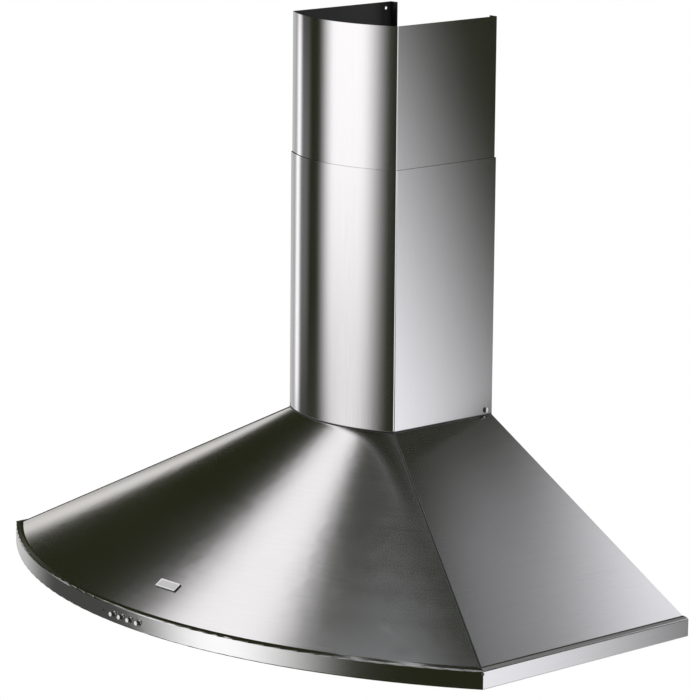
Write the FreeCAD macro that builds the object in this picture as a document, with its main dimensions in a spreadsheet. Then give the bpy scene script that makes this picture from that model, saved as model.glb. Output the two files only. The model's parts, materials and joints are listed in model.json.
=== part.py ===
import FreeCAD, Part
import math
import os
from types import SimpleNamespace

import Sketcher
from FreeCAD import Placement, Rotation, Vector

# A wall mount range hood: a canopy with a bowed front, a two part chimney that telescopes,
# two hinged grease filters, two lamps, four push buttons and the blower inside.
# The wall is the plane y = 0, the room is towards -Y, and the rim's lower edge is z = 0.

SIZES = {
    # the whole hood
    "hood_width": 900.0,
    "side_depth": 345.0,
    "front_bulge": 155.0,
    "canopy_height": 217.0,
    "seam_height": 547.0,
    "hood_height": 725.0,
    # sheet metal and fits
    "sheet": 1.0,
    "seat_gap": 0.3,
    "touch_gap": 0.1,
    "overrun": 3.0,
    # the rim, a folded channel
    "rim_height": 23.0,
    "ledge_width": 10.0,
    "ledge_front": 6.0,
    "ledge_rise": 1.7,
    "ledge_seat": 8.0,
    "rim_return": 15.0,
    "rim_fold": 0.6,
    # the chimney
    "chimney_width": 198.0,
    "chimney_side_depth": 169.0,
    "chimney_bulge": 28.0,
    "chimney_return": 12.0,
    "chimney_bend": 0.8,
    "slide_gap": 0.3,
    "chimney_overlap": 120.0,
    "side_screw_inset": 11.0,
    "low_screw_rise": 6.0,
    "top_hole_drop": 8.0,
    "screw_radius": 1.9,
    "screw_hole_radius": 2.1,
    "screw_head_radius": 3.6,
    "screw_head_height": 1.4,
    "screw_length": 9.0,
    "tab_height": 14.0,
    "tab_width": 16.0,
    "tab_foot": 12.0,
    "tab_sheet": 2.0,
    "tab_setback": 2.0,
    # the back panel and its four wall bolts
    "wall_hole_radius": 4.0,
    "wall_hole_span": 260.0,
    "wall_hole_rise": 80.0,
    "wall_hole_middle": 120.0,
    # the grease filters and their openings
    "filter_width": 296.0,
    "filter_depth": 296.0,
    "filter_height": 9.0,
    "filter_border": 18.0,
    "filter_gap": 1.0,
    "filter_rear": 33.0,
    "centre_bar": 24.0,
    "hook_width": 30.0,
    "hook_reach": 6.0,
    "hook_inset": 40.0,
    "mesh_height": 5.0,
    "mesh_lift": 2.0,
    "mesh_slot_width": 9.0,
    "mesh_slot_depth": 3.5,
    "mesh_slot_margin": 8.0,
    "mesh_slot_count": 15.0,
    "latch_width": 36.0,
    "latch_depth": 10.0,
    "latch_height": 4.0,
    "latch_travel": 3.5,
    "latch_ridge": 1.0,
    "latch_ridge_depth": 2.5,
    # the lamps
    "lamp_side": 170.0,
    "lamp_radius": 28.0,
    "lamp_flange": 6.0,
    "lamp_lip": 2.0,
    "lamp_wall": 1.5,
    "lamp_sleeve": 9.0,
    "glass_height": 2.2,
    "reflector_wall": 0.8,
    "reflector_foot": 3.0,
    "reflector_top": 38.0,
    "reflector_crown": 12.0,
    "bulb_radius": 6.0,
    "bulb_neck": 3.9,
    "bulb_nose": 1.0,
    "bulb_low": 14.0,
    "bulb_high": 31.0,
    "bulb_end": 44.0,
    # the switch row on the rim
    "button_middle": -22.0,
    "button_pitch": 17.2,
    "button_count": 4.0,
    "button_radius": 2.9,
    "button_proud": 4.8,
    "button_round": 0.6,
    "button_travel": 2.5,
    "button_depth": 10.5,
    "button_gap": 0.15,
    "bezel_lap": 0.7,
    "bezel_proud": 1.2,
    "bezel_bevel": 0.7,
    "bezel_wall": 1.1,
    "bezel_tail": 0.8,
    "pilot_middle": -69.0,
    "pilot_radius": 1.6,
    "pilot_proud": 1.0,
    "block_middle": -30.0,
    "block_length": 94.0,
    "block_depth": 20.0,
    "block_height": 17.0,
    # the blower
    "blower_width": 110.0,
    "blower_back": 84.0,
    "blower_axis": 124.0,
    "scroll_radius": 76.0,
    "scroll_growth": 22.0,
    "tongue_offset": 22.0,
    "blower_sheet": 1.2,
    "wheel_radius": 68.0,
    "wheel_eye": 54.0,
    "wheel_width": 94.0,
    "wheel_plate": 1.5,
    "wheel_ring": 4.0,
    "wheel_ring_wall": 1.5,
    "wheel_side_gap": 8.0,
    "hub_radius": 13.0,
    "hub_length": 26.0,
    "blade_curve": 9.0,
    "blade_centre_out": 59.0,
    "blade_centre_up": 8.0,
    "blade_sheet": 0.9,
    "blade_count": 32.0,
    "inlet_radius": 52.0,
    "inlet_depth": 6.0,
    "inlet_flare": 8.0,
    "shaft_radius": 4.0,
    "shaft_gap": 0.05,
    "motor_radius": 42.0,
    "motor_length": 54.0,
    "motor_shoulder": 8.0,
    "motor_flange": 50.0,
    "motor_flange_sheet": 3.0,
    "motor_boss": 9.0,
    "motor_boss_length": 6.0,
    "motor_bore_depth": 30.0,
    "shaft_end_gap": 3.0,
    "capacitor_radius": 15.0,
    "capacitor_length": 54.0,
    "capacitor_side": 160.0,
    "capacitor_rise": 96.0,
    "capacitor_rim": 2.0,
    # the wiring boxes
    "terminal_side": 160.0,
    "terminal_length": 80.0,
    "terminal_depth": 34.0,
    "terminal_height": 38.0,
    "terminal_rise": 32.0,
    "terminal_wall": 2.0,
    "transformer_length": 90.0,
    "transformer_depth": 40.0,
    "transformer_height": 30.0,
    "transformer_side": 250.0,
    "gland_side": 80.0,
    "gland_back": 32.0,
    "gland_radius": 8.0,
    "gland_bore": 4.5,
    "gland_height": 16.0,
    "gland_tail": 2.0,
    "gland_taper": 2.0,
    "gland_flange": 11.0,
    "gland_flange_height": 3.0,
    # the duct collar and its two flaps
    "collar_back": 120.0,
    "collar_radius": 60.0,
    "collar_wall": 1.5,
    "collar_height": 60.0,
    "collar_flange": 10.0,
    "lip_width": 3.5,
    "lip_height": 1.5,
    "flap_rise": 28.0,
    "flap_sheet": 1.0,
    "flap_side_gap": 1.5,
    "pin_radius": 1.2,
    "pin_gap": 0.06,
    "knuckle_radius": 3.0,
    "knuckle_length": 26.0,
    "knuckle_gap": 0.5,
}

doc = FreeCAD.newDocument("wall_hood")
table = doc.addObject("Spreadsheet::Sheet", "Sizes")
for row, (alias, size) in enumerate(SIZES.items(), start=1):
    table.set("A%d" % row, alias)
    table.set("B%d" % row, str(size))
    table.setAlias("B%d" % row, alias)
doc.recompute()


class Bound:
    """A size of the sheet, or a sum of such sizes, kept as a number and as an expression."""

    def __init__(self, number, words):
        self.number = number
        self.words = words

    def join(self, sign, other, number):
        words = other.words if isinstance(other, Bound) else repr(other)
        return Bound(number, "(%s %s %s)" % (self.words, sign, words))

    def __add__(self, other):
        return self.join("+", other, self.number + plain(other))

    def __sub__(self, other):
        return self.join("-", other, self.number - plain(other))

    def __mul__(self, other):
        return self.join("*", other, self.number * plain(other))

    def __truediv__(self, other):
        return self.join("/", other, self.number / plain(other))

    def __neg__(self):
        return Bound(-self.number, "(-%s)" % self.words)


def plain(size):
    """The number of a bound size, or the number itself."""
    return size.number if isinstance(size, Bound) else float(size)


# The sizes as bound expressions for objects, and as plain numbers for worked out shapes
s = SimpleNamespace(**{name: Bound(size, "Sizes." + name) for name, size in SIZES.items()})
v = SimpleNamespace(**SIZES)

subparts = []


def bind(thing, path, size):
    """Bind one property of an object to the sheet."""
    thing.setExpression(path, size.words if isinstance(size, Bound) else repr(float(size)))


def keep(thing, label):
    """List an object as a sub-part under the label that names its file."""
    thing.Label = label
    subparts.append(thing)
    return thing


def move_to(thing, x, y, z, turn=None):
    """Bind the place of an object, and turn it if asked."""
    if turn is not None:
        thing.Placement = Placement(Vector(), turn)
    bind(thing, "Placement.Base.x", x)
    bind(thing, "Placement.Base.y", y)
    bind(thing, "Placement.Base.z", z)


def block(name, length, width, height, x, y, z):
    """A box from its lowest corner, all bound."""
    thing = doc.addObject("Part::Box", name)
    bind(thing, "Length", length)
    bind(thing, "Width", width)
    bind(thing, "Height", height)
    move_to(thing, x, y, z)
    return thing


def rod(name, radius, length, x, y, z, turn=None):
    """A round bar from the middle of its foot, all bound."""
    thing = doc.addObject("Part::Cylinder", name)
    bind(thing, "Radius", radius)
    bind(thing, "Height", length)
    move_to(thing, x, y, z, turn)
    return thing


def joined(name, pieces):
    """Several objects as one solid."""
    thing = doc.addObject("Part::MultiFuse", name)
    thing.Shapes = pieces
    thing.Refine = True
    return thing


def cut_from(name, base, tools):
    """One object with others taken away."""
    thing = doc.addObject("Part::Cut", name)
    thing.Base = base
    thing.Tool = tools[0] if len(tools) == 1 else joined(name + "_tools", tools)
    return thing


def worked(label, shape, place=None):
    """A sub-part whose shape is worked out from the plain sizes."""
    thing = doc.addObject("Part::Feature", label)
    thing.Shape = shape
    if place is not None:
        thing.Placement = place
    return keep(thing, label)


def sketch_on(body, role, lift=None):
    """A sketch on one of the body's own planes, lifted off it if asked."""
    sketch = body.newObject("Sketcher::SketchObject", body.Name + "_sketch")
    plane = [f for f in body.Origin.OriginFeatures if f.Role == role][0]
    sketch.AttachmentSupport = [(plane, "")]
    sketch.MapMode = "FlatFace"
    if lift is not None:
        bind(sketch, "AttachmentOffset.Base.z", lift)
    return sketch


def pin_point(sketch, edge, end, x, y):
    """Hold one point of a sketch at bound distances from the sketch's origin."""
    for kind, axis, size in (("DistanceX", -2, x), ("DistanceY", -1, y)):
        distance = plain(size)
        if distance == 0:
            sketch.addConstraint(Sketcher.Constraint("PointOnObject", edge, end, axis))
            continue
        if distance > 0:
            rule = Sketcher.Constraint(kind, -1, 1, edge, end, distance)
        else:
            rule = Sketcher.Constraint(kind, edge, end, -1, 1, -distance)
        number = sketch.addConstraint(rule)
        bind(sketch, "Constraints[%d]" % number, size if distance > 0 else -size)


def draw_loop(sketch, points):
    """A closed loop of straight edges through bound points."""
    first = sketch.GeometryCount
    count = len(points)
    spots = [Vector(plain(x), plain(y), 0) for x, y in points]
    for index in range(count):
        sketch.addGeometry(Part.LineSegment(spots[index], spots[(index + 1) % count]))
    for index in range(count):
        following = first + (index + 1) % count
        sketch.addConstraint(Sketcher.Constraint("Coincident", first + index, 2, following, 1))
    for index, (x, y) in enumerate(points):
        pin_point(sketch, first + index, 1, x, y)


def draw_rectangle(sketch, x_low, x_high, y_low, y_high):
    """A bound rectangle from its four sides."""
    draw_loop(sketch, [(x_low, y_low), (x_high, y_low), (x_high, y_high), (x_low, y_high)])


def draw_circle(sketch, x, y, radius):
    """A bound circle."""
    spot = Vector(plain(x), plain(y), 0)
    edge = sketch.addGeometry(Part.Circle(spot, Vector(0, 0, 1), plain(radius)))
    number = sketch.addConstraint(Sketcher.Constraint("Radius", edge, plain(radius)))
    bind(sketch, "Constraints[%d]" % number, radius)
    pin_point(sketch, edge, 3, x, y)
    return edge


def padded(label, role, draw, length, lift=None):
    """A body with one pad, from a function that draws its sketch."""
    body = keep(doc.addObject("PartDesign::Body", label), label)
    sketch = sketch_on(body, role, lift)
    draw(sketch)
    pad = body.newObject("PartDesign::Pad", label + "_pad")
    pad.Profile = sketch
    bind(pad, "Length", length)
    return body


def turned(label, profile):
    """A body turned about its own Z axis from a profile of radii and heights."""
    body = keep(doc.addObject("PartDesign::Body", label), label)
    sketch = sketch_on(body, "XZ_Plane")
    draw_loop(sketch, profile)
    turn = body.newObject("PartDesign::Revolution", label + "_turn")
    turn.Profile = sketch
    turn.ReferenceAxis = (sketch, ["V_Axis"])
    turn.Angle = 360
    return body


TOWARDS_RIGHT = Rotation(Vector(0, 1, 0), 90)
TOWARDS_LEFT = Rotation(Vector(0, 1, 0), -90)


# Plans: an outline is two straight sides that run out from the wall and a bowed front.
# An inset outline lies that much inside it all round, apart from the wall side.

def outline(width, side_depth, bulge):
    half_width = width / 2
    radius = (half_width ** 2 + bulge ** 2) / (2 * bulge)
    centre_y = radius - side_depth - bulge
    return SimpleNamespace(half_width=half_width, radius=radius, centre_y=centre_y)


def corner_of(plan, inset):
    """Where the inset bow meets the inset right side."""
    x = plan.half_width - inset
    return x, plan.centre_y - math.sqrt((plan.radius - inset) ** 2 - x ** 2)


def bow(plan, inset, height):
    """The inset bowed front, from its left corner to its right one."""
    x, y = corner_of(plan, inset)
    front = Vector(0, plan.centre_y - plan.radius + inset, height)
    return Part.Arc(Vector(-x, y, height), front, Vector(x, y, height)).toShape()


def run(*points):
    """Straight edges through points."""
    return [Part.makeLine(a, b) for a, b in zip(points, points[1:])]


def bent_bow(plan, inset, bend):
    """The inset bow with a bend at each corner, from the left side to the right one.

    Every inset shares the bends' centres, so sheets inside each other keep their gap.
    """
    x, y = corner_of(plan, bend)
    radius = bend - inset
    side = Vector(radius, 0, 0)
    out = Vector(x, y - plan.centre_y, 0).normalize() * radius
    middle = (side + out).normalize() * radius
    right_centre = Vector(x, y, 0)
    right = [right_centre + step for step in (out, middle, side)]
    left = [Vector(-spot.x, spot.y, 0) for spot in reversed(right)]
    front = Vector(0, plan.centre_y - plan.radius + inset, 0)
    arcs = [left, (left[-1], front, right[0]), right]
    return [Part.Arc(*spots).toShape() for spots in arcs]


def plan_face(plan, inset, height, rear):
    """The whole inset outline as a face, closed along a line at the rear."""
    x, y = corner_of(plan, inset)
    ends = [Vector(x, y, height), Vector(x, rear, height), Vector(-x, rear, height), Vector(-x, y, height)]
    return Part.Face(Part.Wire([bow(plan, inset, height)] + run(*ends)))


def front_band(plan, inset, deeper, height):
    """The wire round the strip between two bows."""
    outer_x, outer_y = corner_of(plan, inset)
    inner_x, inner_y = corner_of(plan, deeper)
    right = run(Vector(outer_x, outer_y, height), Vector(inner_x, inner_y, height))
    left = run(Vector(-inner_x, inner_y, height), Vector(-outer_x, outer_y, height))
    return Part.Wire([bow(plan, inset, height)] + right + [bow(plan, deeper, height)] + left)


def side_band(plan, inset, deeper, height, hand):
    """The wire round the strip between two sides, on the right (1) or left (-1)."""
    outer_x, outer_y = corner_of(plan, inset)
    inner_x, inner_y = corner_of(plan, deeper)
    spots = [(outer_x, outer_y), (outer_x, 0), (inner_x, 0), (inner_x, inner_y), (outer_x, outer_y)]
    return Part.Wire(run(*[Vector(hand * x, y, height) for x, y in spots]))


RIM = outline(v.hood_width, v.side_depth, v.front_bulge)
STACK = outline(v.chimney_width, v.chimney_side_depth, v.chimney_bulge)

# The skin's foot: the ledge in front of it is narrow in the middle and as wide as at the sides
# in the corners
FOOT_X, FOOT_Y = corner_of(RIM, v.ledge_width)
FOOT = outline(2 * FOOT_X, -FOOT_Y, v.side_depth + v.front_bulge - v.ledge_front + FOOT_Y)
FOOT_Z = v.rim_height + v.ledge_rise
PLATE_Z = v.canopy_height - v.sheet
SKIN_RUN = FOOT_X - STACK.half_width
SKIN_RISE = PLATE_Z - FOOT_Z
SKIN_CUT = v.sheet * math.hypot(SKIN_RUN, SKIN_RISE) / SKIN_RISE


def rim_angle(along):
    """The turn about the rim's centre for a place along its bowed face."""
    return along / RIM.radius


def on_rim(along, depth, height):
    """The point at a depth behind the rim's bowed face."""
    turn = rim_angle(along)
    reach = RIM.radius - depth
    return Vector(reach * math.sin(turn), RIM.centre_y - reach * math.cos(turn), height)


def out_of_rim(along):
    """The direction straight out of the rim's bowed face."""
    turn = rim_angle(along)
    return Vector(math.sin(turn), -math.cos(turn), 0)


def rim_place(along, depth=0.0):
    """A place on the rim whose own Z axis points out of the rim."""
    turn = Rotation(Vector(0, 0, 1), out_of_rim(along))
    return Placement(on_rim(along, depth, v.rim_height / 2), turn)


def rim_bore(along, radius):
    """A cutter through the rim's face."""
    foot = on_rim(along, v.sheet + v.overrun, v.rim_height / 2)
    return Part.makeCylinder(radius, v.sheet + 2 * v.overrun, foot, out_of_rim(along))


BUTTONS = int(v.button_count)
BUTTON_SPOTS = [v.button_middle + (k - (BUTTONS - 1) / 2) * v.button_pitch for k in range(BUTTONS)]
BEZEL_BORE = v.button_radius + 2 * v.button_gap
BEZEL_NECK = BEZEL_BORE + v.bezel_wall
BEZEL_RADIUS = BEZEL_NECK + v.bezel_lap


# The rim: one channel profile with rounded folds, bowed along the front and straight along
# both sides, mitred at the two front corners.

def rim_profile():
    """Insets and heights round the channel, and the radii of its four folds by corner number."""
    top = FOOT_Z
    inner_top = v.rim_height - v.sheet + v.ledge_rise * v.sheet / v.ledge_front
    ledge_end = v.ledge_width + v.ledge_seat
    corners = [(0, 0), (0, v.rim_height), (v.ledge_front, top), (ledge_end, top),
               (ledge_end, top - v.sheet), (v.ledge_front, top - v.sheet), (v.sheet, inner_top),
               (v.sheet, v.sheet), (v.rim_return, v.sheet), (v.rim_return, 0)]
    outer = v.rim_fold + v.sheet
    return corners, {0: outer, 1: outer, 6: v.rim_fold, 7: v.rim_fold}


def folded_face(spots, folds):
    """A flat face through spots, with a round fold in place of the corners that have a radius."""
    turns = []
    for number, spot in enumerate(spots):
        if number not in folds:
            turns.append([spot])
            continue
        before = (spots[number - 1] - spot).normalize()
        after = (spots[(number + 1) % len(spots)] - spot).normalize()
        half_angle = before.getAngle(after) / 2
        cut = folds[number] / math.tan(half_angle)
        depth = folds[number] / math.sin(half_angle) - folds[number]
        inward = (before + after).normalize()
        turns.append([spot + before * cut, spot + inward * depth, spot + after * cut])
    edges = []
    for number, turn in enumerate(turns):
        edges.append(Part.makeLine(turns[number - 1][-1], turn[0]))
        if number in folds:
            edges.append(Part.Arc(*turn).toShape())
    return Part.Face(Part.Wire(edges))


def mitre_prism():
    """All that lies in front of the two mitres."""
    outer_x, outer_y = corner_of(RIM, 0)
    inner_x, inner_y = corner_of(RIM, v.ledge_width)
    slope = (outer_y - inner_y) / (outer_x - inner_x)
    wide_x = outer_x + v.rim_return
    wide_y = outer_y + slope * v.rim_return
    middle_y = outer_y - slope * outer_x
    far_y = -v.side_depth - 2 * v.front_bulge
    spots = [(0, middle_y), (wide_x, wide_y), (wide_x, far_y), (-wide_x, far_y), (-wide_x, wide_y),
             (0, middle_y)]
    wire = Part.Wire(run(*[Vector(x, y, -v.overrun) for x, y in spots]))
    return Part.Face(wire).extrude(Vector(0, 0, FOOT_Z + 2 * v.overrun))


def make_rim():
    corners, folds = rim_profile()
    front_y = RIM.centre_y - RIM.radius
    section = folded_face([Vector(0, front_y + m, z) for m, z in corners], folds)
    sweep = math.degrees(2 * math.asin(RIM.half_width / RIM.radius)) + v.rim_return
    pivot = Vector(0, RIM.centre_y, 0)
    section.rotate(pivot, Vector(0, 0, 1), -sweep / 2)
    band = section.revolve(pivot, Vector(0, 0, 1), sweep)
    mitre = mitre_prism()
    holes = [rim_bore(spot, BEZEL_NECK + v.button_gap) for spot in BUTTON_SPOTS]
    holes.append(rim_bore(v.pilot_middle, v.pilot_radius + v.button_gap))
    worked("rim_front", band.common(mitre).cut(holes))
    for label, hand in (("rim_left", -1), ("rim_right", 1)):
        spots = [Vector(hand * (RIM.half_width - m), 0, z) for m, z in corners]
        bar = folded_face(spots, folds).extrude(Vector(0, -v.side_depth - v.rim_return, 0))
        worked(label, bar.cut(mitre))


# The canopy: three ruled sheets from the rim's ledge up to the chimney's foot,
# a flat back with the wall bolts' holes and a flat top under the chimney.

def make_canopy():
    band = (0, SKIN_CUT)
    place = Placement(Vector(0, 0, FOOT_Z), Rotation())
    wires = [front_band(FOOT, *band, 0), front_band(STACK, *band, SKIN_RISE)]
    worked("canopy_front", Part.makeLoft(wires, True, True), place)
    for label, hand in (("canopy_left", -1), ("canopy_right", 1)):
        wires = [side_band(FOOT, *band, 0, hand), side_band(STACK, *band, SKIN_RISE, hand)]
        worked(label, Part.makeLoft(wires, True, True), place)


def make_back():
    """The back panel lies between the rims, their ledges and the side sheets."""
    half = s.hood_width / 2
    gap = s.seat_gap
    seat = s.ledge_width + s.ledge_seat + gap
    foot_top = s.rim_height + s.ledge_rise + gap
    plate_low = s.canopy_height - s.sheet
    rise = plate_low - s.rim_height - s.ledge_rise
    run_in = half - s.ledge_width - s.chimney_width / 2
    foot_x = half - s.ledge_width - gap - s.sheet * (SKIN_CUT / v.sheet)
    foot_x = foot_x - run_in / rise * gap
    crown_x = s.chimney_width / 2 - gap - s.sheet * (SKIN_CUT / v.sheet)
    right = [(half - s.rim_return - gap, 0), (half - s.rim_return - gap, s.sheet + gap),
             (half - s.sheet - gap, s.sheet + gap),
             (half - s.sheet - gap, s.rim_height - s.sheet - gap),
             (half - seat, s.rim_height - s.sheet - gap), (half - seat, foot_top),
             (foot_x, foot_top), (crown_x, plate_low)]
    left = [(-x, z) for x, z in reversed(right)]

    def draw(sketch):
        draw_loop(sketch, right + left)
        for side in (-s.wall_hole_span / 2, s.wall_hole_span / 2):
            for height in (-s.wall_hole_rise / 2, s.wall_hole_rise / 2):
                draw_circle(sketch, side, s.wall_hole_middle + height, s.wall_hole_radius)

    padded("canopy_back", "XZ_Plane", draw, s.sheet)


def make_top():
    face = plan_face(STACK, 0, 0, 0)
    plate = face.extrude(Vector(0, 0, v.sheet))
    duct_hole = v.collar_radius - v.collar_wall - v.lip_width
    reach = v.sheet + 2 * v.overrun
    hole = Part.makeCylinder(duct_hole, reach, Vector(0, -v.collar_back, -v.overrun))
    gland = Part.makeCylinder(v.gland_radius + v.touch_gap, reach,
                              Vector(v.gland_side, -v.gland_back, -v.overrun))
    worked("canopy_top", plate.cut([hole, gland]), Placement(Vector(0, 0, PLATE_Z), Rotation()))


# The chimney: two bent sheets with short returns at the wall, the upper one inside.

def chimney_sheet(inset, rear, length, holes):
    """A bent sheet that stands on z = 0, with side holes at the given heights."""
    bend = 2 * v.sheet + v.slide_gap + v.chimney_bend
    bend_y = corner_of(STACK, bend)[1]
    outer_x = STACK.half_width - inset
    inner_x = outer_x - v.sheet
    turn_x = outer_x - v.chimney_return
    front_rear = rear - v.sheet
    spots = [(outer_x, bend_y), (outer_x, rear), (turn_x, rear), (turn_x, front_rear),
             (inner_x, front_rear), (inner_x, bend_y)]
    right = run(*[Vector(x, y, 0) for x, y in spots])
    left = run(*[Vector(-x, y, 0) for x, y in reversed(spots)])
    inside = bent_bow(STACK, inset + v.sheet, bend)
    edges = bent_bow(STACK, inset, bend) + right + inside[::-1] + left
    shape = Part.Face(Part.Wire(edges)).extrude(Vector(0, 0, length))
    bores = []
    for height in holes:
        start = Vector(-STACK.half_width - v.overrun, -v.side_screw_inset, height)
        bores.append(Part.makeCylinder(v.screw_hole_radius, v.chimney_width + 2 * v.overrun, start,
                                       Vector(1, 0, 0)))
    return shape.cut(bores)


def make_chimney():
    lower_length = v.seam_height - v.canopy_height
    lower = chimney_sheet(0, 0, lower_length, [v.low_screw_rise])
    worked("chimney_lower", lower, Placement(Vector(0, 0, v.canopy_height), Rotation()))
    upper_length = v.hood_height - v.seam_height + v.chimney_overlap
    inset = v.sheet + v.slide_gap
    upper = chimney_sheet(inset, -inset, upper_length, [upper_length - v.top_hole_drop])
    worked("chimney_upper", upper, Placement(Vector(0, 0, v.hood_height - upper_length), Rotation()))


def make_chimney_fixings():
    """Two angle tabs on the canopy's top, and the screws that go into them from outside."""
    tabs = []
    screws = []
    half = s.chimney_width / 2
    inner = half - s.sheet
    low_y = -s.side_screw_inset - s.tab_width / 2 - s.tab_setback
    screw_z = s.canopy_height + s.low_screw_rise
    for hand, side in ((-1, "left"), (1, "right")):
        upright_x = inner - s.tab_sheet if hand > 0 else -inner
        foot_x = inner - s.tab_foot if hand > 0 else -inner
        upright = block("tab_upright_" + side, s.tab_sheet, s.tab_width, s.tab_height,
                        upright_x, low_y, s.canopy_height)
        foot = block("tab_foot_" + side, s.tab_foot, s.tab_width, s.tab_sheet,
                     foot_x, low_y, s.canopy_height)
        tabs += [upright, foot]
        turn = TOWARDS_LEFT if hand > 0 else TOWARDS_RIGHT
        head_x = half + s.screw_head_height if hand > 0 else -half - s.screw_head_height
        head = rod("screw_head_" + side, s.screw_head_radius, s.screw_head_height,
                   head_x, -s.side_screw_inset, screw_z, turn)
        shank = rod("screw_shank_" + side, s.screw_radius, s.screw_length,
                    head_x, -s.side_screw_inset, screw_z, turn)
        screws.append(joined("screw_" + side, [head, shank]))
    bore = rod("tab_bore", s.screw_hole_radius, s.chimney_width, -half, -s.side_screw_inset, screw_z,
               TOWARDS_RIGHT)
    keep(cut_from("chimney_tabs", joined("tab_blanks", tabs), [bore]), "chimney_tabs")
    group = doc.addObject("Part::Compound", "chimney_screws")
    group.Links = screws
    keep(group, "chimney_screws")


# The underside: a pan on the rim's lower return, with two filter openings and two lamp holes

PAN_INSET = v.sheet + v.rim_fold + v.seat_gap

# The lamps lie midway between the filters' openings and the rim's return in front of them
OPENING_FRONT = v.filter_rear + v.filter_depth + v.filter_gap
RETURN_FRONT = math.sqrt((RIM.radius - v.rim_return) ** 2 - v.lamp_side ** 2) - RIM.centre_y
LAMP_FRONT = (OPENING_FRONT + RETURN_FRONT) / 2


def filter_side(hand):
    """The low x of a filter on the right (1) or left (-1)."""
    near = s.centre_bar / 2 + s.filter_gap
    return near if hand > 0 else -near - s.filter_width


def make_pan():
    rear = -PAN_INSET
    plate = plan_face(RIM, PAN_INSET, v.sheet, rear).extrude(Vector(0, 0, v.sheet))
    reach = v.sheet + 2 * v.overrun
    cutters = []
    for hand in (-1, 1):
        low_x = plain(filter_side(hand)) - v.filter_gap
        corner = Vector(low_x, -OPENING_FRONT, -v.overrun)
        cutters.append(Part.makeBox(v.filter_width + 2 * v.filter_gap, v.filter_depth + 2 * v.filter_gap,
                                    reach, corner))
        spot = Vector(hand * v.lamp_side, -LAMP_FRONT, -v.overrun)
        lamp_hole = v.lamp_radius + v.lamp_wall + v.seat_gap
        cutters.append(Part.makeCylinder(lamp_hole, reach, spot))
    worked("underside_pan", plate.cut(cutters))


# The grease filters: a frame with two rear hooks, a grooved mesh pack and a sliding latch

def make_filter(hand, side):
    low_x = filter_side(hand)
    low_y = -s.filter_rear - s.filter_depth
    low_z = s.sheet
    pan_top = s.sheet * 2
    border = s.filter_border
    body = block("filter_blank_" + side, s.filter_width, s.filter_depth, s.filter_height,
                 low_x, low_y, low_z)
    hooks = []
    for name, hook_x in (("inner", low_x + s.hook_inset),
                         ("outer", low_x + s.filter_width - s.hook_inset - s.hook_width)):
        hooks.append(block("hook_%s_%s" % (name, side), s.hook_width, s.hook_reach + border,
                           s.sheet, hook_x, -s.filter_rear - border, pan_top + s.touch_gap))
    window = block("filter_window_" + side, s.filter_width - border * 2, s.filter_depth - border * 2,
                   s.filter_height + s.overrun * 2, low_x + border, low_y + border,
                   low_z - s.overrun)
    middle = low_x + s.filter_width / 2
    recess_width = s.latch_width + s.seat_gap * 2
    recess = block("latch_recess_" + side, recess_width,
                   s.latch_depth + s.latch_travel + s.seat_gap + s.overrun,
                   s.latch_height + s.seat_gap + s.overrun, middle - recess_width / 2,
                   low_y - s.overrun, low_z - s.overrun)
    frame = cut_from("filter_frame_" + side, joined("filter_outer_" + side, [body] + hooks),
                     [window, recess])
    keep(frame, "filter_frame_" + side)

    plate = block("latch_plate_" + side, s.latch_width, s.latch_depth, s.latch_height,
                  middle - s.latch_width / 2, low_y, low_z)
    ridge = block("latch_ridge_" + side, s.latch_width, s.latch_ridge_depth, s.latch_ridge,
                  middle - s.latch_width / 2, low_y + s.latch_depth - s.latch_ridge_depth,
                  low_z - s.latch_ridge)
    keep(joined("filter_latch_" + side, [plate, ridge]), "filter_latch_" + side)

    mesh = padded("filter_mesh_" + side, "XY_Plane",
                  lambda sketch: draw_rectangle(sketch, low_x + border,
                                                low_x + s.filter_width - border, low_y + border,
                                                low_y + s.filter_depth - border),
                  s.mesh_height, low_z + s.mesh_lift)
    doc.recompute()
    span = s.filter_width - border * 2 - s.mesh_slot_margin * 2 - s.mesh_slot_width
    first_x = low_x + border + s.mesh_slot_margin
    slot = sketch_on(mesh, "XY_Plane", low_z + s.mesh_lift)
    draw_rectangle(slot, first_x, first_x + s.mesh_slot_width, low_y + border + s.mesh_slot_margin,
                   low_y + s.filter_depth - border - s.mesh_slot_margin)
    pocket = mesh.newObject("PartDesign::Pocket", "mesh_slot_" + side)
    pocket.Profile = slot
    pocket.Reversed = True
    bind(pocket, "Length", s.mesh_slot_depth)
    rows = mesh.newObject("PartDesign::LinearPattern", "mesh_slots_" + side)
    rows.Originals = [pocket]
    rows.Direction = (slot, ["H_Axis"])
    bind(rows, "Length", span)
    rows.Occurrences = int(v.mesh_slot_count)
    mesh.Tip = rows


# The lamps: a ring through the pan, a glass on its lip, a reflector and a bulb

def make_lamp(hand, side):
    bore = s.lamp_radius
    sleeve = bore + s.lamp_wall
    bulb = s.bulb_radius
    parts = {
        "lamp_ring": [(bore - s.lamp_lip, 0), (bore + s.lamp_flange, 0),
                      (bore + s.lamp_flange, s.sheet), (sleeve, s.sheet),
                      (sleeve, s.lamp_sleeve), (bore, s.lamp_sleeve), (bore, s.sheet),
                      (bore - s.lamp_lip, s.sheet)],
        "lamp_glass": [(0, s.sheet), (bore - s.seat_gap, s.sheet),
                       (bore - s.seat_gap, s.sheet + s.glass_height), (0, s.sheet + s.glass_height)],
        "lamp_reflector": reflector_profile(bore - s.seat_gap),
        "lamp_bulb": [(0, s.bulb_low), (s.bulb_neck, s.bulb_low + s.bulb_nose),
                      (bulb, s.bulb_low + bulb), (bulb, s.bulb_high - bulb),
                      (s.bulb_neck, s.bulb_high), (s.bulb_neck, s.bulb_end), (0, s.bulb_end)],
    }
    for name, profile in parts.items():
        body = turned("%s_%s" % (name, side), profile)
        body.Placement = Placement(Vector(hand * v.lamp_side, -LAMP_FRONT, 0), Rotation())


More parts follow.
